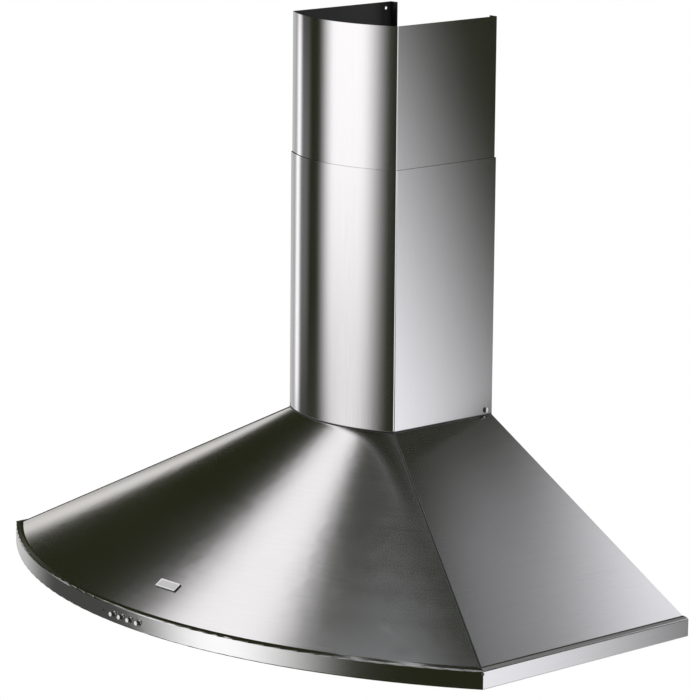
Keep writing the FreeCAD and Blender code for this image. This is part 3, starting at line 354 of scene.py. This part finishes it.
def make_lamps():
    """Large soft lamps for the matt surfaces. The steel doesn't mirror them."""
    for name, lamp in LAMPS.items():
        light = bpy.data.lights.new(name, "AREA")
        light.shape = "DISK"
        light.size = LAMP_SIZE
        light.energy = lamp["power"]
        made = bpy.data.objects.new(name, light)
        spot = Vector(lamp["spot"])
        made.location = spot
        made.rotation_euler = (AIM - spot).to_track_quat("-Z", "Y").to_euler()
        made.visible_camera = False
        made.visible_glossy = False
        scene.collection.objects.link(made)


# Materials. Each kind has one function, and the texture's place is the object's own, in metres.
# Each line of the table holds a dark colour, a light colour and the roughness range.

FINISHES = {
    "bright_steel": ((0.74, 0.74, 0.75), (0.84, 0.84, 0.84), (0.09, 0.2)),
    "cap_metal": ((0.84, 0.84, 0.85), (0.95, 0.95, 0.95), (0.38, 0.5)),
    "cap_plastic": ((0.012, 0.012, 0.013), (0.022, 0.022, 0.024), (0.38, 0.5)),
    "galvanised": ((0.46, 0.48, 0.50), (0.68, 0.70, 0.71), (0.48, 0.32)),
    "screw_head": ((0.86, 0.86, 0.87), (0.96, 0.96, 0.96), (0.25, 0.35)),
    "filter_frame": ((0.66, 0.67, 0.68), (0.78, 0.79, 0.80), (0.30, 0.42)),
    "filter_wires": ((0.56, 0.57, 0.58), (0.76, 0.77, 0.78), (0.28, 0.42)),
    "capacitor_case": ((0.62, 0.62, 0.64), (0.76, 0.76, 0.78), (0.26, 0.38)),
    "motor_paint": ((0.095, 0.097, 0.105), (0.14, 0.142, 0.15), (0.38, 0.5)),
    "red_lens": ((0.02, 0.005, 0.005), (0.04, 0.009, 0.008), (0.12, 0.2)),
    "black_plastic": ((0.022, 0.022, 0.024), (0.036, 0.036, 0.038), (0.43, 0.57)),
    "grey_plastic": ((0.13, 0.13, 0.14), (0.18, 0.18, 0.19), (0.41, 0.55)),
    "wheel_plastic": ((0.035, 0.035, 0.04), (0.06, 0.06, 0.065), (0.35, 0.49)),
    "transformer_case": ((0.72, 0.72, 0.69), (0.80, 0.80, 0.78), (0.43, 0.57)),
    "lamp_glass": ((0.88, 0.91, 0.91), (0.94, 0.96, 0.96), (0.3, 0.45)),
    "bulb_glass": ((0.94, 0.92, 0.88), (0.98, 0.96, 0.93), (0.05, 0.075)),
    "badge_border": ((0.88, 0.88, 0.88), (0.98, 0.98, 0.98), (0.34, 0.44)),
    "badge_field": ((0.60, 0.60, 0.61), (0.74, 0.74, 0.75), (0.34, 0.44)),
}
# The dark colour of painted shade and of painted dark reflections.
PAINTED_DARK = rgb(0.03, 0.03, 0.03)
NOISE_LOW = 0.3
NOISE_HIGH = 0.7
DRAWN_SHARE = 0.02


def finish(name, **constants):
    """A material with one Principled shader: its tree, its shader and the place on the object."""
    material = bpy.data.materials.new(name)
    tree = emptied(material)
    shader = add(tree, "BsdfPrincipled")
    for socket, value in constants.items():
        shader.inputs[socket.replace("_", " ")].default_value = value
    add(tree, "OutputMaterial", {"Surface": shader.outputs[0]})
    return material, tree, shader, add(tree, "TexCoord").outputs["Object"]


def noise(tree, place, scale, detail=3.0, stretch=None):
    """Cloudy noise from 0 to 1, finer where the stretch is larger."""
    if stretch:
        place = add(tree, "Mapping", {"Vector": place, "Scale": stretch}).outputs[0]
    settings = {"Vector": place, "Scale": scale, "Detail": detail}
    return add(tree, "TexNoise", settings).outputs["Fac"]


def by_noise(tree, value, low, high):
    """The range that noise mostly fills, mapped to another."""
    return spread(tree, value, NOISE_LOW, NOISE_HIGH, low, high)


def tint(tree, factor, name):
    """A colour between the two of a finish."""
    low, high, _ = FINISHES[name]
    return blend(tree, factor, rgb(*low), rgb(*high))


def join(tree, shader, colour, roughness):
    """Link a shader's colour and roughness."""
    tree.links.new(colour, shader.inputs["Base Color"])
    tree.links.new(roughness, shader.inputs["Roughness"])


def coat(tree, shader, name, colour_by, rough_by):
    """Give a shader a finish's colour and roughness, each by its own noise."""
    join(tree, shader, tint(tree, colour_by, name), by_noise(tree, rough_by, *FINISHES[name][2]))


def rough_bump(tree, shader, height, strength, distance):
    """Give a shader small bumps from a height."""
    bump = add(tree, "Bump", {"Height": height, "Strength": strength, "Distance": distance})
    tree.links.new(bump.outputs[0], shader.inputs["Normal"])


def facing(tree):
    """The direction that the surface faces on the object."""
    return add(tree, "TexCoord").outputs["Normal"]


# Brushed steel. Lines run along the axis whose share is small.

FINE_LINE = 3000.0
WIDE_LINE = 420.0
FINE_PART = 0.8
WIDE_PART = 0.2
LINE_RUN_SHARE = 0.008
ALONG_X = (LINE_RUN_SHARE, 1.0, 1.0)
LEVEL = (LINE_RUN_SHARE, LINE_RUN_SHARE, 1.0)
UPRIGHT = (1.0, 1.0, LINE_RUN_SHARE)
LINE_LOW = rgb(0.6816, 0.6816, 0.6816)
LINE_HIGH = rgb(0.73272, 0.73272, 0.73272)
SATIN = 0.135
PAN_SATIN = 0.2
STREAK = 0.009
SMUDGE = (-0.006, 0.008)
GRAIN_TURN = 0.25

# The skin's corner lines run from the rim to the chimney. Along them and round the chimney's foot
# the metal is ground dull, and its colour is painted darker as painted shade in the joints. The
# left corner is seen edge on and gets a wider line of painted shade.

SKIN_FOOT = (0.440, -0.3401, 0.0247)
SKIN_CROWN = (0.099, -0.169, 0.217)
CREVICE_REACH = 0.0016
CREVICE_CORE = 0.4
CORNER_REACH = 0.0022
CORNER_CORE = 0.45
LEFT_CORNER_SHARE = 0.35
CREVICE_SHADE_TONE = 0.20
CREVICE_ROUGHNESS = 0.45

CHIMNEY_MIDDLE = (0.0, -0.09, 0.0)
LEVEL_ONLY = (1.0, 1.0, 0.0)
OUTWARD_SOFT = 0.002
INSIDE_SHADE_TONE = 0.13
INSIDE_ROUGHNESS = 0.35


def crevices(tree, place):
    """0 on the open sheet, and up to 1 along the skin's corners and round the chimney's foot."""
    x, y, z = split(tree, place)
    mirrored = add(tree, "CombineXYZ", {0: calc(tree, "ABSOLUTE", x), 1: y, 2: z}).outputs[0]
    run = (Vector(SKIN_CROWN) - Vector(SKIN_FOOT)).normalized()
    apart = vector(tree, "SUBTRACT", mirrored, SKIN_FOOT)
    square = vector(tree, "CROSS_PRODUCT", apart, run)
    corner = vector(tree, "LENGTH", square, output="Value")
    left = calc(tree, "LESS_THAN", x, 0.0)
    corner = calc(tree, "MULTIPLY", corner, spread(tree, left, 0.0, 1.0, 1.0, LEFT_CORNER_SHARE))
    foot = calc(tree, "ABSOLUTE", calc(tree, "SUBTRACT", z, SKIN_CROWN[2]))
    along = spread(tree, corner, CORNER_REACH * CORNER_CORE, CORNER_REACH, 1.0, 0.0, "SMOOTHSTEP")
    round_foot = spread(tree, foot, CREVICE_REACH * CREVICE_CORE, CREVICE_REACH, 1.0, 0.0,
                        "SMOOTHSTEP")
    return calc(tree, "MAXIMUM", along, round_foot)


def chimney_outside(tree, place):
    """1 on the faces that look away from the chimney's middle, 0 on those that look in."""
    apart = vector(tree, "SUBTRACT", place, CHIMNEY_MIDDLE)
    level = vector(tree, "MULTIPLY", apart, LEVEL_ONLY)
    outward = vector(tree, "DOT_PRODUCT", level, facing(tree), output="Value")
    return spread(tree, outward, -OUTWARD_SOFT, OUTWARD_SOFT)


def brushed_steel(name, stretch, roughness=SATIN, turn=0.0, inside=False):
    """Satin steel with brush lines. A chimney's inside is duller, and painted dark as painted
    shade.
    """
    material, tree, shader, place = finish(name, Metallic=1.0, Anisotropic=0.2,
                                           Anisotropic_Rotation=turn)
    fine = noise(tree, place, FINE_LINE, detail=2.0, stretch=stretch)
    wide = noise(tree, place, WIDE_LINE, stretch=stretch)
    lines = calc(tree, "ADD", calc(tree, "MULTIPLY", fine, FINE_PART),
                 calc(tree, "MULTIPLY", wide, WIDE_PART))
    colour = blend(tree, by_noise(tree, lines, 0.0, 1.0), LINE_LOW, LINE_HIGH)
    seam = crevices(tree, place)
    # Painted shade: the colour is darkened along the skin's corners and round the chimney's foot.
    painted_shade_share = spread(tree, seam, 0.0, 1.0, 1.0, CREVICE_SHADE_TONE)
    smudge = by_noise(tree, noise(tree, place, scale=7.0), *SMUDGE)
    streak = by_noise(tree, lines, roughness - STREAK, roughness + STREAK)
    rough = calc(tree, "MULTIPLY_ADD", seam, CREVICE_ROUGHNESS, calc(tree, "ADD", smudge, streak))
    if inside:
        outside = chimney_outside(tree, place)
        # Painted shade: the faces inside the chimney are painted dark.
        painted_shade_share = calc(tree, "MULTIPLY", painted_shade_share, spread(tree, outside, 0.0, 1.0, INSIDE_SHADE_TONE, 1.0))
        dull = spread(tree, outside, 0.0, 1.0, INSIDE_ROUGHNESS, 0.0)
        rough = calc(tree, "ADD", rough, dull)
    join(tree, shader, vector(tree, "MULTIPLY", colour, painted_shade_share), rough)
    tangent = add(tree, "Tangent", direction_type="RADIAL", axis="Z")
    tree.links.new(tangent.outputs[0], shader.inputs["Tangent"])
    rough_bump(tree, shader, lines, strength=0.02, distance=0.00002)
    return material


def bright_steel():
    """Polished steel with faint turning marks and smudges."""
    material, tree, shader, place = finish("bright_steel", Metallic=1.0)
    clouds = noise(tree, place, scale=60.0)
    coat(tree, shader, "bright_steel", clouds, clouds)
    marks = noise(tree, place, scale=1500.0, detail=2.0)
    rough_bump(tree, shader, marks, strength=0.05, distance=0.00005)
    return material


CAPS_OUTWARD = (-0.03, -0.9995, 0.0)
CAP_FACE = (0.45, 0.75)
CAP_METALLIC = 0.35


def button_cap():
    """A push button of black plastic with a pale satin metal face."""
    material, tree, shader, place = finish("button_cap")
    ahead = vector(tree, "DOT_PRODUCT", facing(tree), CAPS_OUTWARD, output="Value")
    face = spread(tree, ahead, *CAP_FACE)
    grain = noise(tree, place, scale=2600.0, detail=2.0)
    colour = blend(tree, face, tint(tree, grain, "cap_plastic"), tint(tree, grain, "cap_metal"))
    join(tree, shader, colour, by_noise(tree, grain, *FINISHES["cap_metal"][2]))
    tree.links.new(calc(tree, "MULTIPLY", face, CAP_METALLIC), shader.inputs["Metallic"])
    return material


CRYSTAL_PART = 0.55
CLOUD_PART = 0.45
CRYSTAL_RANGE = (0.2, 0.8)
STEEPEST_FLAT = 0.5


def galvanised():
    """Zinc coated sheet with its spangle of crystals. Its cut edge at the chimney's foot is
    painted dark, as painted shade in the seam there."""
    material, tree, shader, place = finish("galvanised", Metallic=1.0)
    warped = vector(tree, "ADD", place, noise(tree, place, scale=90.0, detail=2.0))
    crystal = add(tree, "TexVoronoi", {"Vector": place, "Scale": 95.0, "Randomness": 1.0})
    tone = split(tree, crystal.outputs["Color"])[0]
    clouds = noise(tree, warped, scale=6.0, detail=4.0)
    mixed = calc(tree, "ADD", calc(tree, "MULTIPLY", tone, CRYSTAL_PART),
                 calc(tree, "MULTIPLY", clouds, CLOUD_PART))
    rise = split(tree, place)[2]
    upward = split(tree, facing(tree))[2]
    edge = calc(tree, "LESS_THAN", calc(tree, "ABSOLUTE", upward), STEEPEST_FLAT)
    above = calc(tree, "GREATER_THAN", rise, SKIN_CROWN[2] - CREVICE_REACH)
    below = calc(tree, "LESS_THAN", rise, SKIN_CROWN[2] + CREVICE_REACH)
    edge = calc(tree, "MULTIPLY", calc(tree, "MULTIPLY", edge, above), below)
    # Painted shade: the cut edge at the chimney's foot is painted dark.
    join(tree, shader, blend(tree, edge, tint(tree, mixed, "galvanised"), PAINTED_DARK),
         spread(tree, mixed, *CRYSTAL_RANGE, *FINISHES["galvanised"][2]))
    grain = noise(tree, place, scale=500.0)
    rough_bump(tree, shader, grain, strength=0.12, distance=0.0001)
    return material


SCREW_DARK_HALF_LINE = -0.0112
SCREW_SOFT = 0.0006


def screw_head():
    """A polished pan head, its front half painted dark as a painted reflection of the dark room.
    """
    material, tree, shader, place = finish("screw_head", Metallic=0.6)
    # Painted reflection: the front half of the head is painted dark.
    side = spread(tree, split(tree, place)[1], SCREW_DARK_HALF_LINE - SCREW_SOFT, SCREW_DARK_HALF_LINE + SCREW_SOFT)
    marks = noise(tree, place, scale=1500.0, detail=2.0)
    join(tree, shader, blend(tree, side, PAINTED_DARK, tint(tree, marks, "screw_head")),
         by_noise(tree, marks, *FINISHES["screw_head"][2]))
    return material


def filter_frame():
    """Satin aluminium with faint drawing lines."""
    material, tree, shader, place = finish("filter_frame", Metallic=1.0)
    drawn = noise(tree, place, scale=900.0, stretch=(DRAWN_SHARE, DRAWN_SHARE, 1.0))
    coat(tree, shader, "filter_frame", drawn, noise(tree, place, scale=25.0))
    rough_bump(tree, shader, drawn, strength=0.1, distance=0.00005)
    return material


MESH_PITCH = 0.0052
WAVE_LENGTH = 0.314
MESH_TURN = math.radians(45.0)
MESH_GAP = (0.35, 0.7)
GAP_TONE = rgb(0.05, 0.05, 0.05)


def filter_mesh():
    """Layers of expanded aluminium: crossed wires with dark gaps between them."""
    material, tree, shader, place = finish("filter_mesh", Metallic=1.0)
    heights = []
    for turn in (-MESH_TURN, MESH_TURN):
        turned = add(tree, "Mapping", {"Vector": place, "Rotation": (0.0, 0.0, turn)}).outputs[0]
        settings = {"Vector": turned, "Scale": WAVE_LENGTH / MESH_PITCH, "Distortion": 0.3,
                    "Detail": 1.0, "Detail Scale": 8.0}
        wire = add(tree, "TexWave", settings, wave_type="BANDS", bands_direction="X",
                   wave_profile="SIN")
        heights.append(wire.outputs["Fac"])
    height = calc(tree, "MAXIMUM", *heights)
    gap = spread(tree, height, *MESH_GAP, kind="SMOOTHSTEP")
    clouds = noise(tree, place, scale=30.0)
    join(tree, shader, blend(tree, gap, GAP_TONE, tint(tree, clouds, "filter_wires")),
         by_noise(tree, clouds, *FINISHES["filter_wires"][2]))
    rough_bump(tree, shader, height, strength=0.6, distance=0.0008)
    return material


HAMMERED = rgb(0.88, 0.88, 0.88)
HAMMERED_ROUGHNESS = (0.08, 0.16)


def reflector():
    """Hammered bright aluminium."""
    material, tree, shader, place = finish("reflector", Metallic=1.0, Base_Color=HAMMERED)
    dimple = add(tree, "TexVoronoi", {"Vector": place, "Scale": 320.0}, feature="SMOOTH_F1")
    smudges = by_noise(tree, noise(tree, place, scale=80.0), *HAMMERED_ROUGHNESS)
    tree.links.new(smudges, shader.inputs["Roughness"])
    rough_bump(tree, shader, dimple.outputs["Distance"], strength=0.5, distance=0.0006)
    return material


def capacitor_case():
    """A drawn aluminium can."""
    material, tree, shader, place = finish("capacitor_case", Metallic=1.0)
    drawn = noise(tree, place, scale=700.0, stretch=(DRAWN_SHARE, 1.0, 1.0))
    coat(tree, shader, "capacitor_case", drawn, drawn)
    return material


def moulded(name):
    """Moulded plastic with a fine grain and faint flow clouds."""
    material, tree, shader, place = finish(name)
    grain = noise(tree, place, scale=1200.0)
    coat(tree, shader, name, noise(tree, place, scale=45.0, detail=4.0), grain)
    rough_bump(tree, shader, grain, strength=0.25, distance=0.0001)
    return material


def motor_paint():
    """Stoved paint with a light orange peel."""
    material, tree, shader, place = finish("motor_paint", Coat_Weight=0.25, Coat_Roughness=0.2)
    clouds = noise(tree, place, scale=30.0)
    coat(tree, shader, "motor_paint", clouds, clouds)
    peel = noise(tree, place, scale=420.0, detail=2.0)
    rough_bump(tree, shader, peel, strength=0.2, distance=0.0002)
    return material


def red_lens():
    """A clear red lens over a dark lamp."""
    material, tree, shader, place = finish("red_lens", IOR=1.49, Coat_Weight=0.6,
                                           Coat_Roughness=0.05)
    depth = noise(tree, place, scale=900.0, detail=2.0)
    coat(tree, shader, "red_lens", depth, depth)
    return material


def clear_glass(name, dapple):
    """Glass that lets light through, evenly dappled."""
    material, tree, shader, place = finish(name, IOR=1.5, Transmission_Weight=0.9)
    cells = noise(tree, place, dapple, detail=2.0)
    coat(tree, shader, name, cells, cells)
    rough_bump(tree, shader, cells, strength=0.3, distance=0.0002)
    return material


def make_materials():
    """The satin steels by the way their grain runs, and the other materials by name."""
    steel = {
        "level": brushed_steel("satin_steel_level", LEVEL),
        "upright": brushed_steel("satin_steel_upright", UPRIGHT, turn=GRAIN_TURN, inside=True),
        "flat": brushed_steel("satin_steel_flat", ALONG_X, roughness=PAN_SATIN),
    }
    others = {make.__name__: make() for make in (
        bright_steel, screw_head, button_cap, galvanised, filter_frame, filter_mesh, reflector,
        capacitor_case, motor_paint, red_lens)}
    for name in ("black_plastic", "grey_plastic", "wheel_plastic", "transformer_case"):
        others[name] = moulded(name)
    for name, dapple in (("lamp_glass", 700.0), ("bulb_glass", 300.0)):
        others[name] = clear_glass(name, dapple)
    return steel, others


# How the grain runs where it isn't level, and how wide the rounded edges are

STEEL_GRAIN = {
    "chimney_lower": "upright",
    "chimney_upper": "upright",
    "underside_pan": "flat",
}
OWN_MATERIAL = {"chimney_screws": "screw_head"}
EDGES = {
    "rim_front": 0.0008,
    "rim_left": 0.0008,
    "rim_right": 0.0008,
    "canopy_front": 0.00045,
    "canopy_left": 0.00045,
    "canopy_right": 0.00045,
    "chimney_lower": 0.0003,
    "chimney_upper": 0.0003,
    "underside_pan": 0.0003,
    "filter_frame_left": 0.0006,
    "filter_frame_right": 0.0006,
    "filter_latch_left": 0.0004,
    "filter_latch_right": 0.0004,
    "terminal_box": 0.0008,
    "terminal_lid": 0.0006,
    "lamp_transformer": 0.0015,
    "switch_block": 0.0005,
    "motor": 0.0006,
    "outlet_collar": 0.0004,
}
EDGE_STEPS = 3
EDGE_ANGLE = math.radians(35.0)


def dress(steel, others):
    """Give every node its material, and soften the edges that catch the light."""
    for part in frame["record"]["subparts"]:
        name = part["node"]
        slot = part["material_slot"]
        if slot == "satin_steel":
            material = steel[STEEL_GRAIN.get(name, "level")]
        else:
            material = others[OWN_MATERIAL.get(name, slot)]
        for place in nodes[name].material_slots:
            place.material = material
    for name, width in EDGES.items():
        rounding = nodes[name].modifiers.new("edges", "BEVEL")
        rounding.width = width
        rounding.segments = EDGE_STEPS
        rounding.limit_method = "ANGLE"
        rounding.angle_limit = EDGE_ANGLE
        rounding.harden_normals = True


# The light plate on the front sheet, bare, a little proud of the sheet

BADGE_PIXEL = (168.4, 585.6)
BADGE_WIDTH = 0.036
BADGE_HEIGHT = 0.0125
BADGE_THICKNESS = 0.0021
BADGE_SUNK = 0.0003
BADGE_CORNER = 0.0008
BADGE_CORNER_STEPS = 4
BADGE_BORDER = 0.0015
BADGE_STEP = 0.0002
BADGE_EDGE = 0.00015
BADGE_EDGE_STEPS = 2
BADGE_SIDE_SHADE_RANGE = (0.3, 0.6)


def badge_mesh():
    """A thin plate with round corners and a sunk field inside its border."""
    shape = bmesh.new()
    for vert in bmesh.ops.create_cube(shape, size=1.0)["verts"]:
        x, y, z = vert.co
        vert.co = Vector((x * BADGE_WIDTH, y * BADGE_HEIGHT, z * BADGE_THICKNESS))
    upright = [edge for edge in shape.edges
               if abs((edge.verts[0].co - edge.verts[1].co).z) > BADGE_THICKNESS / 2]
    bmesh.ops.bevel(shape, geom=upright, offset=BADGE_CORNER, segments=BADGE_CORNER_STEPS,
                    affect="EDGES", profile=0.5)
    top = max(shape.faces, key=lambda face: face.calc_center_median().z)
    bmesh.ops.inset_region(shape, faces=[top], thickness=BADGE_BORDER)
    bmesh.ops.inset_region(shape, faces=[top], thickness=BADGE_STEP, depth=-BADGE_STEP)
    mesh = bpy.data.meshes.new("badge_plate")
    shape.to_mesh(mesh)
    shape.free()
    return mesh


def badge_metal():
    """Pale satin aluminium, brushed along the plate, with a bright border; its sides are painted
    dark as painted shade.
    """
    material, tree, shader, place = finish("badge_metal", Metallic=0.35)
    lines = noise(tree, place, scale=2500.0, detail=2.0, stretch=(DRAWN_SHARE, 1.0, 1.0))
    aside, above, _ = split(tree, vector(tree, "ABSOLUTE", place))
    inner = BADGE_BORDER + BADGE_STEP
    within = calc(tree, "MULTIPLY", calc(tree, "LESS_THAN", aside, BADGE_WIDTH / 2 - inner),
                  calc(tree, "LESS_THAN", above, BADGE_HEIGHT / 2 - inner))
    top = blend(tree, within, tint(tree, lines, "badge_border"), tint(tree, lines, "badge_field"))
    # Painted shade: the plate's sides are painted dark, and its top keeps its metal.
    upward = spread(tree, split(tree, facing(tree))[2], *BADGE_SIDE_SHADE_RANGE)
    join(tree, shader, blend(tree, upward, PAINTED_DARK, top),
         by_noise(tree, lines, *FINISHES["badge_field"][2]))
    return material


def make_badge(eye):
    """Set the plate on the front sheet where the photograph shows it."""
    spot, out = nodes["canopy_front"].ray_cast(eye, sight_line(*BADGE_PIXEL))[1:3]
    if out.dot(eye - spot) < 0:
        out = -out
    side = Vector((0.0, 0.0, 1.0)).cross(out).normalized()
    badge = bpy.data.objects.new("badge_plate", badge_mesh())
    scene.collection.objects.link(badge)
    rise = BADGE_THICKNESS / 2 - BADGE_SUNK
    badge.matrix_world = placed(spot + out * rise, side, out.cross(side), out)
    rounding = badge.modifiers.new("edges", "BEVEL")
    rounding.width = BADGE_EDGE
    rounding.segments = BADGE_EDGE_STEPS
    rounding.limit_method = "ANGLE"
    badge.data.materials.append(badge_metal())
    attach(badge, "hood")


eye = make_camera()
make_world()
for name, card in CARDS.items():
    make_card(name, **card)
make_floor()
make_lamps()
dress(*make_materials())
make_badge(eye)
